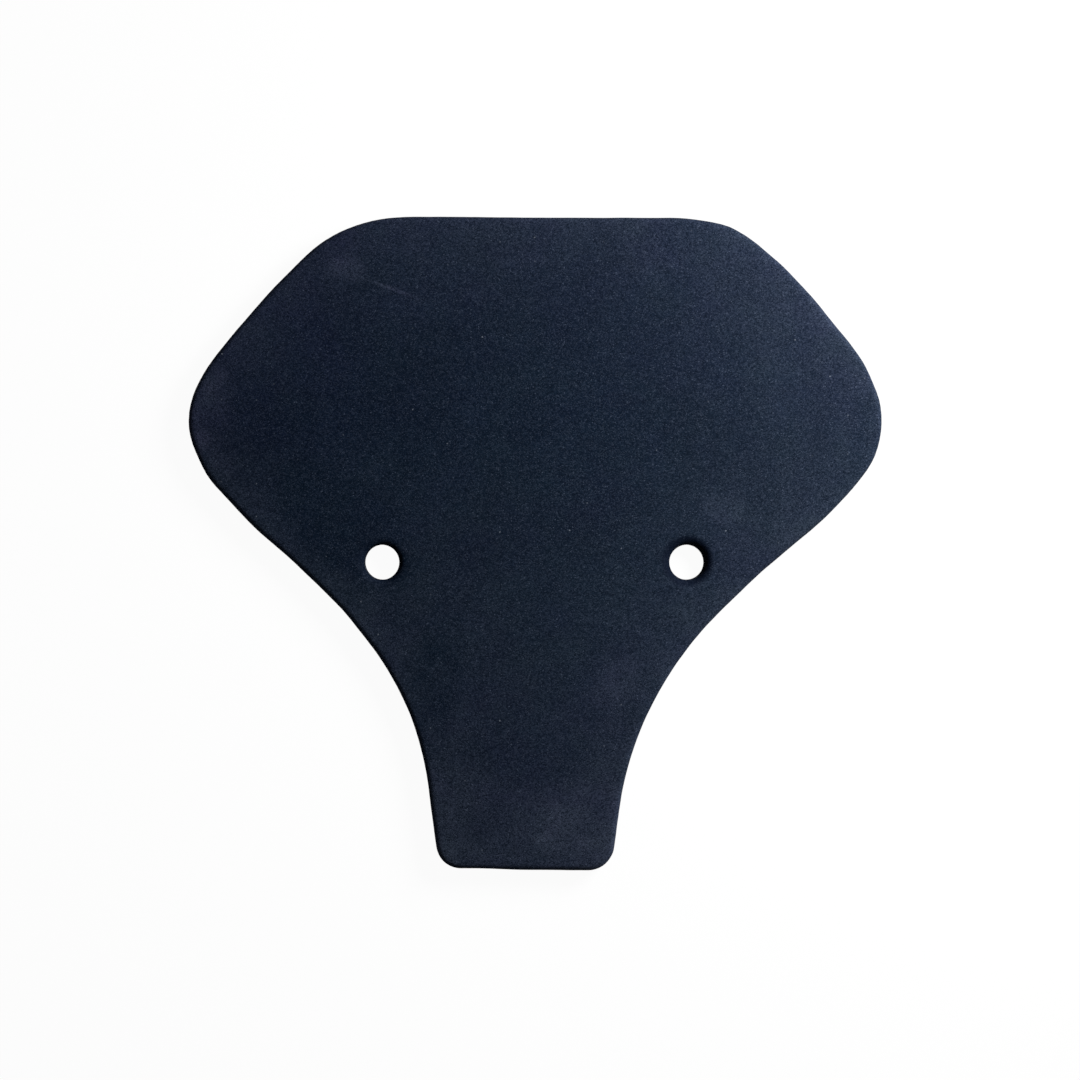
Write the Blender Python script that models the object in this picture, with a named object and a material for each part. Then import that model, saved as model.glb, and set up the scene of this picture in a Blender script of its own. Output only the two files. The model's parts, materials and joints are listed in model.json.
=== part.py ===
"""Motorcycle tail seat pad: one sheet of closed-cell foam, cut round a template and punched for two bolts.

The pad lies flat on its back, with its wide rear end at +Y and its narrow front end at -Y. The origin is
the middle of its footprint, on the surface that it lies on. Lengths are in metres and angles in degrees.
"""

import math

import bmesh
import bpy
from mathutils import Matrix, Vector

# Overall sizes
PAD_WIDTH = 0.320
PAD_LENGTH = 0.301
PAD_THICKNESS = 0.010

# Bolt holes, one on each side of the centre line
HOLE_DIAMETER = 0.0162
LEFT_HOLE_REACH = 0.0708
RIGHT_HOLE_REACH = 0.0702
HOLE_FROM_FRONT = 0.142

# Rounds of the upper face, where the blade and the punch dragged its skin down
EDGE_ROUND = 0.0028
LEFT_MOUTH_ROUND = 0.0033
RIGHT_MOUTH_ROUND = 0.0045

# Template sizes that both sides share
TIP_FROM_FRONT = 0.2075
REAR_ROUND = 0.072
FRONT_ROUND = 0.012
NECK_LEAN = 7.0

# Template sizes of the right side
RIGHT_FRONT_REACH = 0.035
RIGHT_NECK_SWEEP = 0.163
RIGHT_FLANK_SLOPE = 42.0
RIGHT_TIP_ROUND = 0.047
RIGHT_SHOULDER_SLOPE = 50.0

# Template sizes of the left side, which was cut by hand and isn't quite the right side's mirror image
LEFT_FRONT_REACH = 0.0445
LEFT_NECK_SWEEP = 0.144
LEFT_FLANK_SLOPE = 44.0
LEFT_TIP_ROUND = 0.043
LEFT_SHOULDER_SLOPE = 49.0

# Fineness of the faceted rounds
ARC_POINT_SPACING = 0.004
ARC_STEP = 6.0
HOLE_SIDES = 48
ROUND_STEPS = 6
WELD_DISTANCE = 0.00001

# Angles between neighbouring faces: flat, shaded smooth, and square enough to be a rim
FLAT_ANGLE = 0.1
SMOOTH_ANGLE = 40.0
RIM_ANGLE = 45.0

# Foam, blue-black and matt
FOAM_COLOR = (0.0123, 0.0185, 0.0343, 1.0)
FOAM_ROUGHNESS = 0.8


def direction(degrees):
    """The unit vector at this angle from +X."""
    return Vector((math.cos(math.radians(degrees)), math.sin(math.radians(degrees))))


def crossing(start, along, other_start, other_along):
    """The point where two lines meet."""
    reach = (other_start - start).cross(other_along) / along.cross(other_along)
    return start + along * reach


def side_corners(front_reach, neck_sweep, flank_slope, tip_round, shoulder_slope):
    """The corners of one side of the template from front to rear, each with the radius that rounds it.

    Heights count from the front edge. The flank and the shoulder both touch the round of the wing's tip,
    so the tip reaches half the pad's width.
    """
    tip_centre = Vector((PAD_WIDTH / 2 - tip_round, TIP_FROM_FRONT))
    flank_start = tip_centre + tip_round * direction(flank_slope - 90)
    shoulder_start = tip_centre + tip_round * direction(90 - shoulder_slope)
    flank = direction(flank_slope)
    shoulder = direction(180 - shoulder_slope)

    front = Vector((front_reach, 0))
    neck = crossing(front, direction(90 - NECK_LEAN), flank_start, flank)
    tip = crossing(flank_start, flank, shoulder_start, shoulder)
    rear = crossing(shoulder_start, shoulder, Vector((0, PAD_LENGTH)), direction(0))
    return [(front, FRONT_ROUND), (neck, neck_sweep), (tip, tip_round), (rear, REAR_ROUND)]


def template_corners():
    """All corners of the template, counter-clockwise from the right end of the front edge."""
    right = side_corners(
        RIGHT_FRONT_REACH, RIGHT_NECK_SWEEP, RIGHT_FLANK_SLOPE, RIGHT_TIP_ROUND, RIGHT_SHOULDER_SLOPE
    )
    left = side_corners(
        LEFT_FRONT_REACH, LEFT_NECK_SWEEP, LEFT_FLANK_SLOPE, LEFT_TIP_ROUND, LEFT_SHOULDER_SLOPE
    )
    mirrored = [(Vector((-corner.x, corner.y)), radius) for corner, radius in left]
    return right + mirrored[::-1]


def arc_in_corner(before, corner, after, radius):
    """Points on the arc that rounds a corner and touches both of its sides."""
    to_before = (before - corner).normalized()
    to_after = (after - corner).normalized()
    half_angle = to_before.angle(to_after) / 2
    centre = corner + (to_before + to_after).normalized() * radius / math.sin(half_angle)
    spoke = corner + to_before * radius / math.tan(half_angle) - centre
    turn = math.copysign(math.pi - 2 * half_angle, to_after.cross(to_before))
    steps = math.ceil(max(abs(turn) * radius / ARC_POINT_SPACING, abs(turn) / math.radians(ARC_STEP)))
    return [centre + Matrix.Rotation(turn * step / steps, 2) @ spoke for step in range(steps + 1)]


def pad_outline():
    """The outline's points, centred on the footprint."""
    corners = template_corners()
    centring = Vector((0, -PAD_LENGTH / 2))
    points = []
    for index, (corner, radius) in enumerate(corners):
        before = corners[index - 1][0]
        after = corners[(index + 1) % len(corners)][0]
        points += [point + centring for point in arc_in_corner(before, corner, after, radius)]
    return points


def hole_centres():
    """The centres of the left and the right bolt hole."""
    height = HOLE_FROM_FRONT - PAD_LENGTH / 2
    return [Vector((-LEFT_HOLE_REACH, height)), Vector((RIGHT_HOLE_REACH, height))]


def hole_outline(centre):
    """Points round one bolt hole."""
    return [centre + HOLE_DIAMETER / 2 * direction(360 * step / HOLE_SIDES) for step in range(HOLE_SIDES)]


def add_closed_spline(curve, points):
    spline = curve.splines.new("POLY")
    spline.points.add(len(points) - 1)
    for spline_point, point in zip(spline.points, points):
        spline_point.co = (point.x, point.y, 0, 1)
    spline.use_cyclic_u = True


def cut_sheet():
    """The punched blank as a mesh with square edges, its underside at height 0."""
    curve = bpy.data.curves.new("seat_pad_template", "CURVE")
    curve.dimensions = "2D"
    curve.fill_mode = "BOTH"
    curve.extrude = PAD_THICKNESS / 2
    add_closed_spline(curve, pad_outline())
    for centre in hole_centres():
        add_closed_spline(curve, hole_outline(centre))

    template = bpy.data.objects.new("seat_pad_template", curve)
    template.location.z = PAD_THICKNESS / 2
    bpy.context.scene.collection.objects.link(template)
    graph = bpy.context.evaluated_depsgraph_get()
    mesh = bpy.data.meshes.new_from_object(template.evaluated_get(graph))
    mesh.transform(template.matrix_world)
    bpy.data.objects.remove(template)
    bpy.data.curves.remove(curve)
    return mesh


def upper_rim(sheet, hole):
    """The edges where the upper face meets the wall of this hole, or of the outline where hole is None."""
    rim = []
    for edge in sheet.edges:
        middle = (edge.verts[0].co + edge.verts[1].co) / 2
        below_top = middle.z < PAD_THICKNESS - WELD_DISTANCE
        if below_top or edge.calc_face_angle() < math.radians(RIM_ANGLE):
            continue
        at_hole = None
        for number, centre in enumerate(hole_centres()):
            if (middle.xy - centre).length < HOLE_DIAMETER:
                at_hole = number
        if at_hole == hole:
            rim.append(edge)
    return rim


def round_rim(sheet, radius, hole=None):
    bmesh.ops.bevel(
        sheet,
        geom=upper_rim(sheet, hole),
        offset=radius,
        segments=ROUND_STEPS,
        profile=0.5,
        affect="EDGES",
        material=-1,
    )


def foam_material():
    material = bpy.data.materials.new("closed_cell_foam")
    material.use_nodes = True
    shader = material.node_tree.nodes["Principled BSDF"]
    shader.inputs["Base Color"].default_value = FOAM_COLOR
    shader.inputs["Roughness"].default_value = FOAM_ROUGHNESS
    shader.inputs["Metallic"].default_value = 0.0
    material.diffuse_color = FOAM_COLOR
    return material


def build_seat_pad(collection):
    """The pad: the punched blank with its upper edges rounded."""
    mesh = cut_sheet()
    sheet = bmesh.new()
    sheet.from_mesh(mesh)
    bmesh.ops.remove_doubles(sheet, verts=sheet.verts, dist=WELD_DISTANCE)
    flat = math.radians(FLAT_ANGLE)
    flat_edges = [edge for edge in sheet.edges if edge.calc_face_angle() < flat]
    bmesh.ops.dissolve_limit(sheet, angle_limit=flat, verts=[], edges=flat_edges)
    round_rim(sheet, EDGE_ROUND)
    round_rim(sheet, LEFT_MOUTH_ROUND, hole=0)
    round_rim(sheet, RIGHT_MOUTH_ROUND, hole=1)
    bmesh.ops.recalc_face_normals(sheet, faces=sheet.faces)
    sheet.to_mesh(mesh)
    sheet.free()

    mesh.name = "seat_pad"
    mesh.materials.append(foam_material())
    mesh.shade_smooth()
    mesh.set_sharp_from_angle(angle=math.radians(SMOOTH_ANGLE))
    pad = bpy.data.objects.new("seat_pad", mesh)
    collection.objects.link(pad)
    return pad


for old_object in list(bpy.data.objects):
    bpy.data.objects.remove(old_object, do_unlink=True)
tail_seat_pad = bpy.data.collections.new("tail_seat_pad")
bpy.context.scene.collection.children.link(tail_seat_pad)
build_seat_pad(tail_seat_pad)
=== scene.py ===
import json
import math

import bmesh
import bpy
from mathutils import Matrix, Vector, kdtree, noise


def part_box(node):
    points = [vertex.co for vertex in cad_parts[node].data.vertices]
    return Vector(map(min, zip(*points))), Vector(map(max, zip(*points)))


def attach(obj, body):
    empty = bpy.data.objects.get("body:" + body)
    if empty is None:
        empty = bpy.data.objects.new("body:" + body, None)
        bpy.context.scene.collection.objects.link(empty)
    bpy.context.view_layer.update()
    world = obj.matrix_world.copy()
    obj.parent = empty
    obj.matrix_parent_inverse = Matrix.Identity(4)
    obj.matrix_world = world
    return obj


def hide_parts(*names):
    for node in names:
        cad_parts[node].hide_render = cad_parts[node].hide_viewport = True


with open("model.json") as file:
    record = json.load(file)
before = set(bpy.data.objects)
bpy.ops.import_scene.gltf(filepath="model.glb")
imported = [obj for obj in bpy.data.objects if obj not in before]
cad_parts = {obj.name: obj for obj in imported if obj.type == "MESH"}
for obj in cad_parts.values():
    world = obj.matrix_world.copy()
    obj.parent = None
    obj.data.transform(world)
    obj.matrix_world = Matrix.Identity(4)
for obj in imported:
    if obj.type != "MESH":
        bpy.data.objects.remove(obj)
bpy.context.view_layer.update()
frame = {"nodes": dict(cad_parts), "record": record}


# The foam pad: one blank of closed-cell foam, about 10 mm thick, with a fine skin above and below.
# It is cut round a template with a hand-held blade, which strays from the line by up to a millimetre,
# and the blade and the hole punch drag its upper skin down. It lies bare, and seat bolts fix the real one.
SKIN_PITCH = 0.0025
WALL_PITCH = 0.0012
MERGE_DISTANCE = 0.000002
SLICE_SNAP = 0.0003
PLAN_TOLERANCE = 0.00005
FLAT_EDGE = math.radians(0.05)
FLAT_FACES = math.radians(0.1)
SHARP_EDGE = math.radians(50)

blank = bmesh.new()
blank.from_mesh(frame["nodes"]["seat_pad"].data)
bmesh.ops.remove_doubles(blank, verts=blank.verts, dist=MERGE_DISTANCE)
flat_edges = [edge for edge in blank.edges if edge.calc_face_angle(0.0) < FLAT_EDGE]
bmesh.ops.dissolve_limit(blank, angle_limit=FLAT_FACES, verts=[], edges=flat_edges)
pad_low, pad_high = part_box("seat_pad")
pad_thickness = pad_high.z - pad_low.z


def slice_across(sheet, axis, pitch):
    """Cuts the sheet's faces along parallel planes, a pitch apart at most, so that they can bend."""
    normal = Vector((0, 0, 0))
    normal[axis] = 1
    span = pad_high[axis] - pad_low[axis]
    count = math.ceil(span / pitch)
    for step in range(1, count):
        bmesh.ops.bisect_plane(
            sheet,
            geom=sheet.verts[:] + sheet.edges[:] + sheet.faces[:],
            dist=SLICE_SNAP,
            plane_co=normal * (pad_low[axis] + span * step / count),
            plane_no=normal,
        )


slice_across(blank, 2, WALL_PITCH)
slice_across(blank, 0, SKIN_PITCH)
slice_across(blank, 1, SKIN_PITCH)
bmesh.ops.triangulate(blank, faces=blank.faces, quad_method="SHORT_EDGE", ngon_method="BEAUTY")

# The bolt holes: the middle of each, and how far round it the foam counts as its mouth
MOUTH_REACH = 0.012
hole_middles = []
for opening in frame["record"]["physics"]["openings"]:
    low, high = (Vector(corner) for corner in opening["box_m"])
    hole_middles.append(((low + high) / 2).xy)


def at_mouth(place):
    return min((place.xy - middle).length for middle in hole_middles) < MOUTH_REACH


def tree_of(places):
    """These places, sorted so that the one nearest to any point is quickly found."""
    tree = kdtree.KDTree(len(places))
    for index, place in enumerate(places):
        tree.insert(place, index)
    tree.balance()
    return tree


# The cut edge, read at the underside: each of its points, with the direction out of the foam there. A face
# is a wall where its normal leans up or down by less than this.
WALL_LEAN = 0.3
cut_edge = []
for vert in blank.verts:
    walls = [face.normal for face in vert.link_faces if abs(face.normal.z) < WALL_LEAN]
    if vert.co.z < PLAN_TOLERANCE and walls:
        cut_edge.append((vert.co.copy(), sum(walls, Vector()).normalized()))
cut_tree = tree_of([place for place, _ in cut_edge])
outline_tree = tree_of([place for place, _ in cut_edge if not at_mouth(place)])

# Where the blade strayed from the template: a place across and along the pad, how far along the edge the
# stray reaches, and how far out of the template it runs
BLADE_STRAYS = (
    (-0.153, 0.077, 0.014, -0.0011),
    (-0.155, 0.040, 0.010, -0.0009),
    (-0.130, 0.008, 0.017, 0.0012),
    (-0.079, -0.043, 0.016, 0.0008),
    (-0.066, -0.062, 0.012, 0.0003),
    (-0.030, -0.150, 0.018, -0.0008),
    (0.038, -0.128, 0.020, 0.0004),
    (0.105, -0.014, 0.016, -0.0007),
    (0.132, 0.010, 0.010, 0.0004),
    (0.149, 0.028, 0.012, -0.0010),
    (0.156, 0.076, 0.009, -0.0007),
    (0.145, 0.094, 0.010, 0.0005),
    (0.130, 0.111, 0.016, 0.0010),
    (0.109, 0.133, 0.009, -0.0004),
    (0.090, 0.145, 0.011, 0.0011),
    (-0.042, 0.150, 0.030, 0.0005),
    (-0.109, 0.129, 0.012, -0.0010),
)

# The fine unsteadiness of the hand, on which the punch halves it, how far in from the edge the strays are
# felt, and the slight unevenness of the upper face. A noise is a wavelength and a height.
HAND_TREMOR = ((0.011, 0.00010), (0.004, 0.00006))
PUNCH_TREMOR = 0.5
STRAY_DEPTH = 0.022
SKIN_RELIEF = ((0.055, 0.00016), (0.019, 0.00005))


def layered_noise(point, layers):
    """The sum of smooth noises at this point."""
    return sum(height * noise.noise(point / wavelength) for wavelength, height in layers)


cut_distances = []
outline_distances = []
moves = []
for vert in blank.verts:
    in_plan = Vector((vert.co.x, vert.co.y, 0))
    place, index, distance = cut_tree.find(in_plan)
    cut_distances.append(distance)
    outline_distances.append(outline_tree.find(in_plan)[2])
    stray = layered_noise(place, HAND_TREMOR)
    if at_mouth(place):
        stray *= PUNCH_TREMOR
    else:
        for x, y, reach, run_out in BLADE_STRAYS:
            stray += run_out * math.exp(-((place.x - x) ** 2 + (place.y - y) ** 2) / reach**2)
    stray *= max(0.0, 1 - distance / STRAY_DEPTH) ** 2
    relief = layered_noise(vert.co, SKIN_RELIEF) * vert.co.z / pad_thickness
    moves.append(cut_edge[index][1] * stray + Vector((0, 0, relief)))
for vert, move in zip(blank.verts, moves):
    vert.co += move

pad_mesh = bpy.data.meshes.new("foam_pad")
blank.to_mesh(pad_mesh)
blank.free()
pad_mesh.shade_smooth()
pad_mesh.set_sharp_from_angle(angle=SHARP_EDGE)
for name, distances in (("distance_from_cut", cut_distances), ("distance_from_outline", outline_distances)):
    pad_mesh.attributes.new(name, "FLOAT", "POINT").data.foreach_set("value", distances)
foam_pad = bpy.data.objects.new("foam_pad", pad_mesh)
bpy.context.scene.collection.objects.link(foam_pad)

# The foam's finish: blue-black and matt. Its skin is a fine mosaic of closed cells over soft, broad clouds,
# and its dye drifts from green in the middle to violet at the rear, most on the left. Pale dust lies along
# its edges and where it was handled, a painted sheen pales its front end, its rear edge and its right wing,
# and painted shade darkens patches on its lower left. The mouths of the holes are dark, partly where the
# punch stretched the skin and partly with painted shade of their rounds, and in the cut walls the cells lie
# open, with painted shade in their pits.
SKIN_DEEP = (0.0008, 0.0050, 0.0150, 1.0)
SKIN_PALE = (0.0036, 0.0104, 0.0246, 1.0)
GREEN_CAST = (0.97, 1.05, 0.95, 1.0)
VIOLET_CAST = (1.03, 0.89, 1.10, 1.0)
CELL_GLINT = (0.036, 0.043, 0.060, 1.0)
CELL_SHADE = (0.0004, 0.0030, 0.0090, 1.0)
# Pale dust, which also carries the painted sheen
PALE_DUST_AND_SHEEN = (0.046, 0.056, 0.091, 1.0)
DUST_SPECK = (0.130, 0.150, 0.185, 1.0)
# The dark of the hole mouths: stretched skin, and painted shade of their rounds
STRETCHED_SKIN_AND_SHADE = (0.0000, 0.0016, 0.0085, 1.0)
OPEN_CELL = (0.0125, 0.0160, 0.0245, 1.0)
# The pits of the open cells, in painted shade
OPEN_CELL_PIT_SHADE = (0.0018, 0.0024, 0.0042, 1.0)

# Distances from one wave or one cell to the next
CLOUD_PITCH = 0.050
DYE_PITCH = 0.024
DUST_AND_SHEEN_PITCH = 0.018
MARK_NOISE_PITCH = 0.011
SPECK_PITCH = 0.0080
MOTTLE_PITCH = 0.007
DRAG_PITCH = 0.004
SCRATCH_BREAK_PITCH = 0.0022
OPEN_CELL_PITCH = 0.00075
SKIN_CELL_PITCH = 0.00042

# The range in which most of a noise lies
NOISE_LOW = 0.30
NOISE_HIGH = 0.70

# How the finish takes the light: matt on the bare skin, and more so where dust and painted sheen lie thick
SKIN_ROUGHNESS = 0.72
DUSTY_ROUGHNESS = 0.92
THICK_DUST_AND_SHEEN = 0.4
FOAM_SPECULAR = 0.06
CELL_RELIEF = 0.0003
CELL_RELIEF_SHARE = 0.35

foam = bpy.data.materials.new("closed_cell_foam")
foam.use_nodes = True
foam_nodes = foam.node_tree.nodes
foam_links = foam.node_tree.links
foam_nodes.clear()


def foam_node(kind, inputs, **settings):
    """A node of the foam's material, with its settings made and its inputs set or linked."""
    node = foam_nodes.new(kind)
    for name, value in settings.items():
        setattr(node, name, value)
    for name, value in inputs.items():
        if isinstance(value, bpy.types.NodeSocket):
            foam_links.new(value, node.inputs[name])
        else:
            node.inputs[name].default_value = value
    return node


def foam_noise(pitch, detail=1.0, roughness=0.5, offset=(0.0, 0.0, 0.0), stretch=(1.0, 1.0, 1.0)):
    """A smooth noise over the pad, this far from wave to wave. Its offset tells it from the other noises."""
    moved = foam_node("ShaderNodeMapping", {"Vector": foam_place, "Location": offset, "Scale": stretch})
    inputs = {"Vector": moved.outputs["Vector"], "Scale": 1 / pitch, "Detail": detail, "Roughness": roughness}
    return foam_node("ShaderNodeTexNoise", inputs).outputs["Fac"]


def fade(value, start, end, low=0.0, high=1.0, curve="SMOOTHSTEP"):
    """Turns a value into a share that runs from low at start to high at end."""
    inputs = {"Value": value, "From Min": start, "From Max": end, "To Min": low, "To Max": high}
    return foam_node("ShaderNodeMapRange", inputs, interpolation_type=curve).outputs["Result"]


def combine(operation, first, second):
    return foam_node("ShaderNodeMath", {0: first, 1: second}, operation=operation).outputs["Value"]


def tinted(share, first, second, blend="MIX"):
    """The first colour, with this share of the second over it."""
    inputs = {0: share, 6: first, 7: second}
    return foam_node("ShaderNodeMix", inputs, data_type="RGBA", blend_type=blend).outputs[2]


def seen_from(x, y, turn=0.0, half_length=1.0, half_width=1.0):
    """Places in plan, counted from this one, along a turned direction and in units of these two sizes."""
    inputs = {
        "Vector": plan_place,
        "Location": (x, y, 0.0),
        "Rotation": (0.0, 0.0, math.radians(turn)),
        "Scale": (half_length, half_width, 1.0),
    }
    return foam_node("ShaderNodeMapping", inputs, vector_type="TEXTURE").outputs["Vector"]


def length_of(place):
    return foam_node("ShaderNodeVectorMath", {0: place}, operation="LENGTH").outputs["Value"]


def size_of(value):
    return foam_node("ShaderNodeMath", {0: value}, operation="ABSOLUTE").outputs["Value"]


foam_place = foam_node("ShaderNodeTexCoord", {}).outputs["Object"]
across, along, height = foam_node("ShaderNodeSeparateXYZ", {"Vector": foam_place}).outputs
plan_place = foam_node("ShaderNodeCombineXYZ", {"X": across, "Y": along}).outputs["Vector"]
cut_distance = foam_node("ShaderNodeAttribute", {}, attribute_name="distance_from_cut").outputs["Fac"]
outline_distance = foam_node("ShaderNodeAttribute", {}, attribute_name="distance_from_outline").outputs["Fac"]

# The paler patches of the skin: broad clouds and a finer mottle
CLOUD_SHARE = 0.35
MOTTLE_SHARE = 0.65
cloud = fade(foam_noise(CLOUD_PITCH, 2.0, 0.5), 0.35, 0.65, 0.0, CLOUD_SHARE)
mottle = foam_noise(MOTTLE_PITCH, 3.0, 0.65, (0.2, 0.4, 0.0))
patchiness = combine("ADD", cloud, fade(mottle, 0.28, 0.72, 0.0, MOTTLE_SHARE, "LINEAR"))
skin = tinted(patchiness, SKIN_DEEP, SKIN_PALE)

# Dust: how far in it reaches from the outline, and how thick it lies there. Then a painted sheen, which pales
# the skin along the pad towards the front end and the rear edge, and across it towards the right wing: from
# where, to where and by how much.
EDGE_DUST = ((0.007, 0.05), (0.030, 0.08), (0.060, 0.06))
BROAD_PAINTED_SHEEN = (
    (along, 0.045, -0.060, 0.13),
    (along, -0.095, -0.135, 0.17),
    (along, 0.055, 0.130, 0.055),
    (across, 0.030, 0.110, 0.085),
)

# Marks of handling, and darker patches: a place across and along the pad, a turn, a half length, a half
# width and a strength. Where the strength is below zero, the patch darkens the skin, and the two on the lower
# left are painted shade.
HANDLING_MARKS_AND_SHADE = (
    (-0.0480, -0.0680, 80.0, 0.0440, 0.0180, -0.14),
    (-0.0880, 0.0060, -38.0, 0.0480, 0.0240, -0.18),
    (0.1550, 0.0430, 90.0, 0.0340, 0.0150, -0.13),
    (-0.0868, 0.1268, -8.0, 0.0130, 0.0078, 0.19),
    (-0.1530, 0.0610, 82.0, 0.0340, 0.0170, 0.14),
    (-0.1476, 0.0745, 57.0, 0.0110, 0.0062, 0.12),
    (-0.1530, 0.0482, -70.0, 0.0078, 0.0045, 0.13),
    (-0.1440, 0.0360, -50.0, 0.0120, 0.0055, 0.12),
    (-0.1310, 0.0200, -40.0, 0.0110, 0.0060, 0.10),
    (-0.1037, 0.0224, 0.0, 0.0110, 0.0080, 0.05),
    (-0.0746, 0.0316, -50.0, 0.0055, 0.0018, 0.10),
    (-0.0590, -0.0016, -20.0, 0.0060, 0.0040, 0.06),
    (0.0864, 0.0164, -15.0, 0.0150, 0.0100, 0.14),
    (0.0370, -0.0640, 50.0, 0.0190, 0.0120, 0.17),
    (0.0220, -0.1280, 10.0, 0.0300, 0.0260, 0.13),
    (0.0033, -0.1350, 25.0, 0.0075, 0.0030, 0.20),
    (0.0090, -0.1260, 90.0, 0.0130, 0.0040, 0.08),
    (-0.0330, -0.1410, -10.0, 0.0110, 0.0060, 0.10),
)

# How far out in a mark it is at its full strength, and how unevenly dust, painted sheen and marks lie
MARK_FULL = 0.40
DUST_AND_SHEEN_UNEVENNESS = (0.7, 1.3)
MARK_UNEVENNESS = (0.6, 1.4)
dust_and_painted_light = 0.0
for reach, strength in EDGE_DUST:
    dust_and_painted_light = combine("ADD", fade(outline_distance, reach, 0.0, 0.0, strength), dust_and_painted_light)
for direction, start, end, strength in BROAD_PAINTED_SHEEN:
    dust_and_painted_light = combine("ADD", dust_and_painted_light, fade(direction, start, end, 0.0, strength, "LINEAR"))
dust_and_sheen_noise = foam_noise(DUST_AND_SHEEN_PITCH, 4.0, 0.6, (0.6, 0.2, 0.0))
dust_and_painted_light = combine("MULTIPLY", dust_and_painted_light, fade(dust_and_sheen_noise, NOISE_LOW, NOISE_HIGH, *DUST_AND_SHEEN_UNEVENNESS))
mark_noise = fade(foam_noise(MARK_NOISE_PITCH, 3.0, 0.6, (0.1, 0.8, 0.0)), NOISE_LOW, NOISE_HIGH, *MARK_UNEVENNESS)
for x, y, turn, half_length, half_width, strength in HANDLING_MARKS_AND_SHADE:
    mark_and_shade = fade(length_of(seen_from(x, y, turn, half_length, half_width)), 1.0, MARK_FULL, 0.0, strength)
    dust_and_painted_light = combine("ADD", dust_and_painted_light, combine("MULTIPLY", mark_and_shade, mark_noise))

# One long scratch crosses the rear left wing, thin, a little bowed, broken, and faint at its ends
SCRATCH_PLACE = (-0.0665, 0.1178)
SCRATCH_TURN = -20.0
SCRATCH_LENGTH = 0.036
SCRATCH_HALF_WIDTH = 0.0014
SCRATCH_BOW = 3.5
SCRATCH_STRENGTH = 0.50
scratch_x, scratch_y, _ = foam_node(
    "ShaderNodeSeparateXYZ", {"Vector": seen_from(*SCRATCH_PLACE, SCRATCH_TURN)}
).outputs
bowed = combine("ADD", scratch_y, combine("MULTIPLY", combine("POWER", scratch_x, 2.0), SCRATCH_BOW))
scratch = combine(
    "MULTIPLY",
    fade(size_of(bowed), SCRATCH_HALF_WIDTH, 0.0, 0.0, SCRATCH_STRENGTH),
    fade(size_of(scratch_x), SCRATCH_LENGTH / 2, SCRATCH_LENGTH / 6),
)
scratch_breaks = foam_noise(SCRATCH_BREAK_PITCH, 1.0, 0.5, (0.5, 0.5, 0.0))
scratch = combine("MULTIPLY", scratch, fade(scratch_breaks, 0.25, 0.60, 0.3, 1.0))
dust_and_painted_light = combine("ADD", dust_and_painted_light, scratch)
# Dust and the painted sheen pale the skin here, and the darker patches on the lower left lay painted shade on
# it
skin = tinted(dust_and_painted_light, skin, PALE_DUST_AND_SHEEN)

# The dye: from nothing for green to one for violet, in small clouds, and more towards both ends of the pad
# and in the rear left wing
DYE_CLOUDS = (-0.10, 0.46)
REAR_VIOLET = 0.22
FRONT_VIOLET = 0.18
REAR_LEFT_VIOLET = 0.40
dye_noise = foam_noise(DYE_PITCH, 2.0, 0.6, (0.3, 0.7, 0.0))
dye = fade(dye_noise, NOISE_LOW, NOISE_HIGH, *DYE_CLOUDS, "LINEAR")
dye = combine("ADD", dye, fade(along, 0.030, 0.110, 0.0, REAR_VIOLET, "LINEAR"))
dye = combine("ADD", dye, fade(along, -0.030, -0.140, 0.0, FRONT_VIOLET, "LINEAR"))
rear_left = combine("MULTIPLY", fade(along, 0.010, 0.060), fade(across, -0.040, -0.120))
dye = combine("ADD", dye, combine("MULTIPLY", rear_left, REAR_LEFT_VIOLET))
skin = tinted(1.0, skin, tinted(dye, GREEN_CAST, VIOLET_CAST), "MULTIPLY")

# The closed cells of the skin: each has a tone of its own. The upper half of them glint, a few the most, and
# the lower half lie in shade.
MIDDLE_TONE = 0.50
BRIGHT_TONE = 0.975
GLINT_SHARE = 0.42
BRIGHT_GLINT_SHARE = 0.64
SHADE_SHARE = 0.78
DOME_RIM = 0.8
skin_cells = foam_node("ShaderNodeTexVoronoi", {"Vector": foam_place, "Scale": 1 / SKIN_CELL_PITCH})
cell_tone, _, _ = foam_node("ShaderNodeSeparateColor", {"Color": skin_cells.outputs["Color"]}).outputs
cell_dome = fade(skin_cells.outputs["Distance"], DOME_RIM, 0.0)
glint = combine(
    "ADD",
    fade(cell_tone, MIDDLE_TONE, 1.0, 0.0, GLINT_SHARE, "LINEAR"),
    fade(cell_tone, BRIGHT_TONE, 1.0, 0.0, BRIGHT_GLINT_SHARE, "LINEAR"),
)
skin = tinted(glint, skin, CELL_GLINT, "ADD")
skin = tinted(fade(cell_tone, MIDDLE_TONE, 0.0, 0.0, SHADE_SHARE, "LINEAR"), skin, CELL_SHADE)

# The mouths of the left and the right hole, dark partly where the punch stretched the skin and partly with
# painted shade of their rounds: which way the dark ring leans across and along the pad, how far from there it
# begins and where it is full, and how much it darkens
MOUTH_STRETCH_AND_SHADE = ((0.0, 0.0, 0.0128, 0.0090, 0.36), (-0.0003, 0.0004, 0.0132, 0.0102, 0.74))
for middle, (lean_x, lean_y, reach, full, strength) in zip(hole_middles, MOUTH_STRETCH_AND_SHADE):
    from_ring_middle = length_of(seen_from(middle.x + lean_x, middle.y + lean_y))
    stretch_and_shade_share = fade(from_ring_middle, reach, full, 0.0, strength)
    skin = tinted(stretch_and_shade_share, skin, STRETCHED_SKIN_AND_SHADE)

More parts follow.
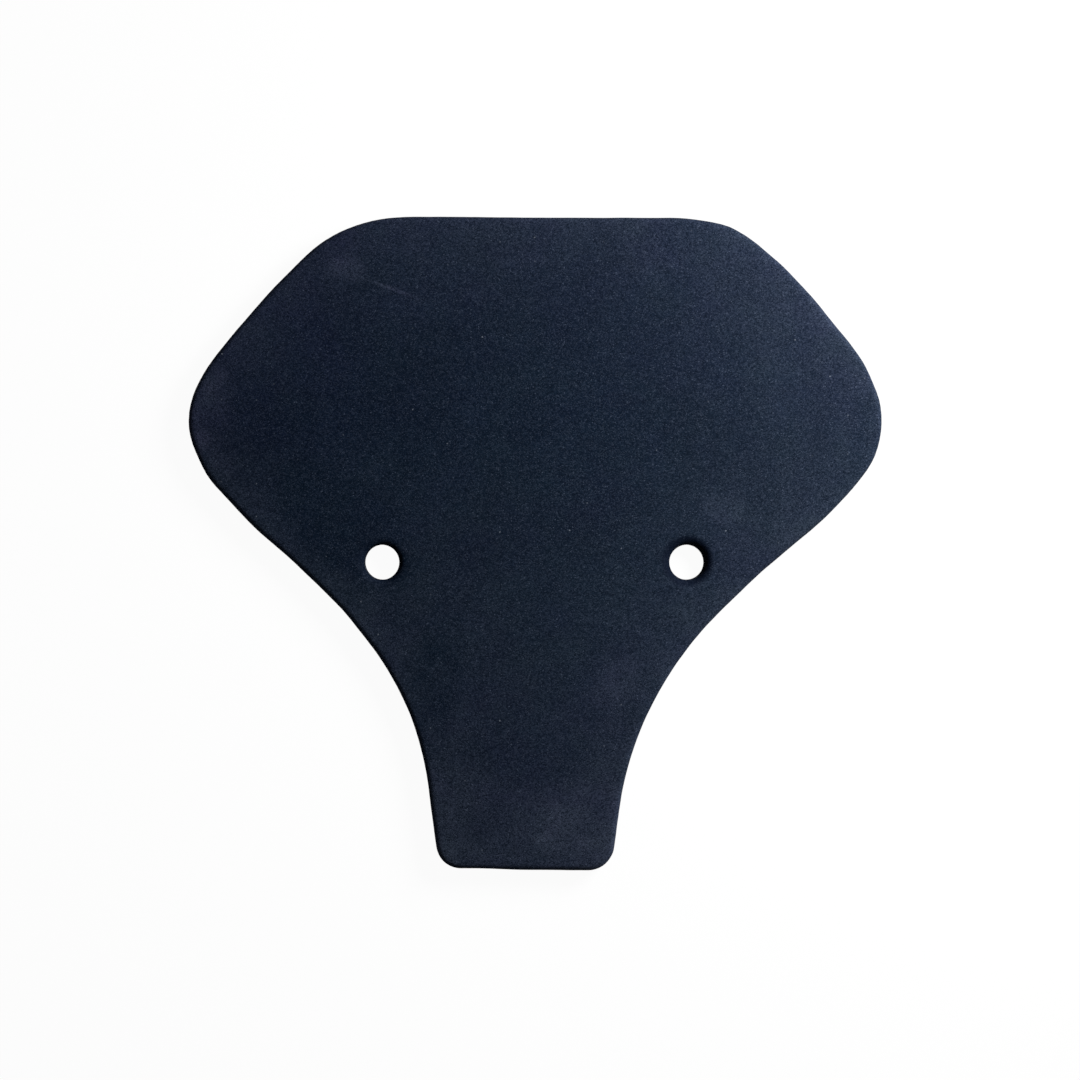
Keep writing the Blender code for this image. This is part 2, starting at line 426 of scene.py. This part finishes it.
# A few bright specks of dust, in about one in twenty of the cells of a coarse mesh, and as large as these
# shares of its pitch
SPECK_RIM = 0.055
SPECK_CORE = 0.030
SPECK_CHOICE = (0.94, 0.97)
SPECK_STRENGTH = (0.2, 0.9)
speck_places = foam_node(
    "ShaderNodeTexVoronoi", {"Vector": plan_place, "Scale": 1 / SPECK_PITCH}, voronoi_dimensions="2D"
)
speck_choice, speck_strength, _ = foam_node(
    "ShaderNodeSeparateColor", {"Color": speck_places.outputs["Color"]}
).outputs
speck = fade(speck_places.outputs["Distance"], SPECK_RIM, SPECK_CORE)
speck = combine("MULTIPLY", speck, fade(speck_choice, *SPECK_CHOICE))
speck = combine("MULTIPLY", speck, fade(speck_strength, 0.0, 1.0, *SPECK_STRENGTH))
skin = tinted(speck, skin, DUST_SPECK)

# The cut walls, with their cells open as fine pits darkened with painted shade, and lines where the blade and
# the punch dragged. A wall ends at the round of its rim, and lies no further in from the cut than this.
WALL_TOP = (0.0076, 0.0064)
WALL_DEPTH = (0.00045, 0.00010)
DRAG_STRETCH = (1.0, 1.0, 9.0)
DRAG_SHARE = 0.35
PIT_RIM = 0.55
PIT_FLOOR = 0.15
PIT_SHADE_SHARE = 0.85
wall = combine("MULTIPLY", fade(height, *WALL_TOP), fade(cut_distance, *WALL_DEPTH))
pores = foam_node("ShaderNodeTexVoronoi", {"Vector": foam_place, "Scale": 1 / OPEN_CELL_PITCH})
pore = fade(pores.outputs["Distance"], PIT_RIM, PIT_FLOOR)
drag_lines = foam_noise(DRAG_PITCH, 2.0, 0.5, (0.7, 0.3, 0.0), DRAG_STRETCH)
open_cells = tinted(fade(drag_lines, 0.35, 0.65, 0.0, DRAG_SHARE), OPEN_CELL, SKIN_PALE)
open_cells = tinted(combine("MULTIPLY", pore, PIT_SHADE_SHARE), open_cells, OPEN_CELL_PIT_SHADE)
colour = tinted(wall, skin, open_cells)

relief_of_wall = combine("SUBTRACT", 1.0, pore)
relief = foam_node("ShaderNodeMix", {0: wall, 2: cell_dome, 3: relief_of_wall}).outputs[0]
bump_inputs = {"Height": relief, "Strength": CELL_RELIEF_SHARE, "Distance": CELL_RELIEF}
stipple = foam_node("ShaderNodeBump", bump_inputs)
surface = foam_node("ShaderNodeBsdfPrincipled", {"Base Color": colour, "Normal": stipple.outputs["Normal"]})
foam_links.new(fade(dust_and_painted_light, 0.0, THICK_DUST_AND_SHEEN, SKIN_ROUGHNESS, DUSTY_ROUGHNESS), surface.inputs["Roughness"])
surface.inputs["Specular IOR Level"].default_value = FOAM_SPECULAR
foam_node("ShaderNodeOutputMaterial", {"Surface": surface.outputs["BSDF"]})
pad_mesh.materials.append(foam)

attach(foam_pad, "root")
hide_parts("seat_pad")


# The floor: a plain pale studio floor of matt board, a hair below the pad's underside. To the camera it is
# near white, darkened only by the pad's soft shadow, and from below it can be seen through.
FLOOR_HALF_WIDTH = 12.0
FLOOR_HEIGHT = -0.0003
BOARD_GREY = (0.8, 0.8, 0.8, 1.0)
FLOOR_WHITE = 0.955
SHADOW_GREY = (0.055, 0.055, 0.055, 1.0)

floor_bm = bmesh.new()
bmesh.ops.create_grid(floor_bm, x_segments=1, y_segments=1, size=FLOOR_HALF_WIDTH)
bmesh.ops.translate(floor_bm, verts=floor_bm.verts, vec=(0, 0, FLOOR_HEIGHT))
floor_mesh = bpy.data.meshes.new("studio_floor")
floor_bm.to_mesh(floor_mesh)
floor_bm.free()
studio_floor = bpy.data.objects.new("studio_floor", floor_mesh)
bpy.context.scene.collection.objects.link(studio_floor)

floor_paint = bpy.data.materials.new("pale_floor")
floor_paint.use_nodes = True
floor_nodes = floor_paint.node_tree.nodes
floor_links = floor_paint.node_tree.links
floor_nodes.clear()
floor_output = floor_nodes.new("ShaderNodeOutputMaterial")
plain_floor = floor_nodes.new("ShaderNodeBsdfDiffuse")
plain_floor.inputs["Color"].default_value = BOARD_GREY
seen_floor = floor_nodes.new("ShaderNodeAddShader")
seen_shadow = floor_nodes.new("ShaderNodeBsdfDiffuse")
seen_shadow.inputs["Color"].default_value = SHADOW_GREY
seen_white = floor_nodes.new("ShaderNodeEmission")
seen_white.inputs["Strength"].default_value = FLOOR_WHITE
floor_links.new(seen_shadow.outputs["BSDF"], seen_floor.inputs[0])
floor_links.new(seen_white.outputs["Emission"], seen_floor.inputs[1])
ray = floor_nodes.new("ShaderNodeLightPath")
by_ray = floor_nodes.new("ShaderNodeMixShader")
floor_links.new(ray.outputs["Is Camera Ray"], by_ray.inputs["Fac"])
floor_links.new(plain_floor.outputs["BSDF"], by_ray.inputs[1])
floor_links.new(seen_floor.outputs["Shader"], by_ray.inputs[2])
floor_side = floor_nodes.new("ShaderNodeNewGeometry")
see_through = floor_nodes.new("ShaderNodeBsdfTransparent")
by_side = floor_nodes.new("ShaderNodeMixShader")
floor_links.new(floor_side.outputs["Backfacing"], by_side.inputs["Fac"])
floor_links.new(by_ray.outputs["Shader"], by_side.inputs[1])
floor_links.new(see_through.outputs["BSDF"], by_side.inputs[2])
floor_links.new(by_side.outputs["Shader"], floor_output.inputs["Surface"])
floor_mesh.materials.append(floor_paint)


# The light: one soft lamp box, low on the pad's upper right, and a faint even light from the room.
LAMP_PLACE = (0.41, 0.26, 0.31)
LAMP_SIZE = 0.24
LAMP_POWER = 6.0
ROOM_FILL = 0.056
ROOM_SEEN = 0.96
ROOM_WHITE = (1.0, 1.0, 1.0, 1.0)

lamp = bpy.data.lights.new("lamp_box", "AREA")
lamp.shape = "SQUARE"
lamp.size = LAMP_SIZE
lamp.energy = LAMP_POWER
lamp_box = bpy.data.objects.new("lamp_box", lamp)
lamp_box.location = LAMP_PLACE
lamp_box.rotation_euler = (-lamp_box.location).to_track_quat("-Z", "Y").to_euler()
bpy.context.scene.collection.objects.link(lamp_box)

room = bpy.data.worlds.new("pale_room")
room.use_nodes = True
room_nodes = room.node_tree.nodes
room_links = room.node_tree.links
room_nodes.clear()
room_output = room_nodes.new("ShaderNodeOutputWorld")
room_fill = room_nodes.new("ShaderNodeBackground")
room_fill.inputs["Color"].default_value = ROOM_WHITE
room_fill.inputs["Strength"].default_value = ROOM_FILL
room_seen = room_nodes.new("ShaderNodeBackground")
room_seen.inputs["Color"].default_value = ROOM_WHITE
room_seen.inputs["Strength"].default_value = ROOM_SEEN
room_ray = room_nodes.new("ShaderNodeLightPath")
room_mix = room_nodes.new("ShaderNodeMixShader")
room_links.new(room_ray.outputs["Is Camera Ray"], room_mix.inputs["Fac"])
room_links.new(room_fill.outputs["Background"], room_mix.inputs[1])
room_links.new(room_seen.outputs["Background"], room_mix.inputs[2])
room_links.new(room_mix.outputs["Shader"], room_output.inputs["Surface"])
bpy.context.scene.world = room


# The camera: straight above the pad, as the photograph was taken, with the pad a little off the middle.
CAMERA_HEIGHT = 0.90
CAMERA_PLACE = (0.0023, 0.0018)
VIEW_WIDTH = 0.4969

camera_data = bpy.data.cameras.new("overhead_camera")
camera_data.lens = camera_data.sensor_width * (CAMERA_HEIGHT - pad_thickness) / VIEW_WIDTH
overhead_camera = bpy.data.objects.new("overhead_camera", camera_data)
overhead_camera.location = (*CAMERA_PLACE, CAMERA_HEIGHT)
bpy.context.scene.collection.objects.link(overhead_camera)
bpy.context.scene.camera = overhead_camera
bpy.context.scene.view_settings.view_transform = "Standard"
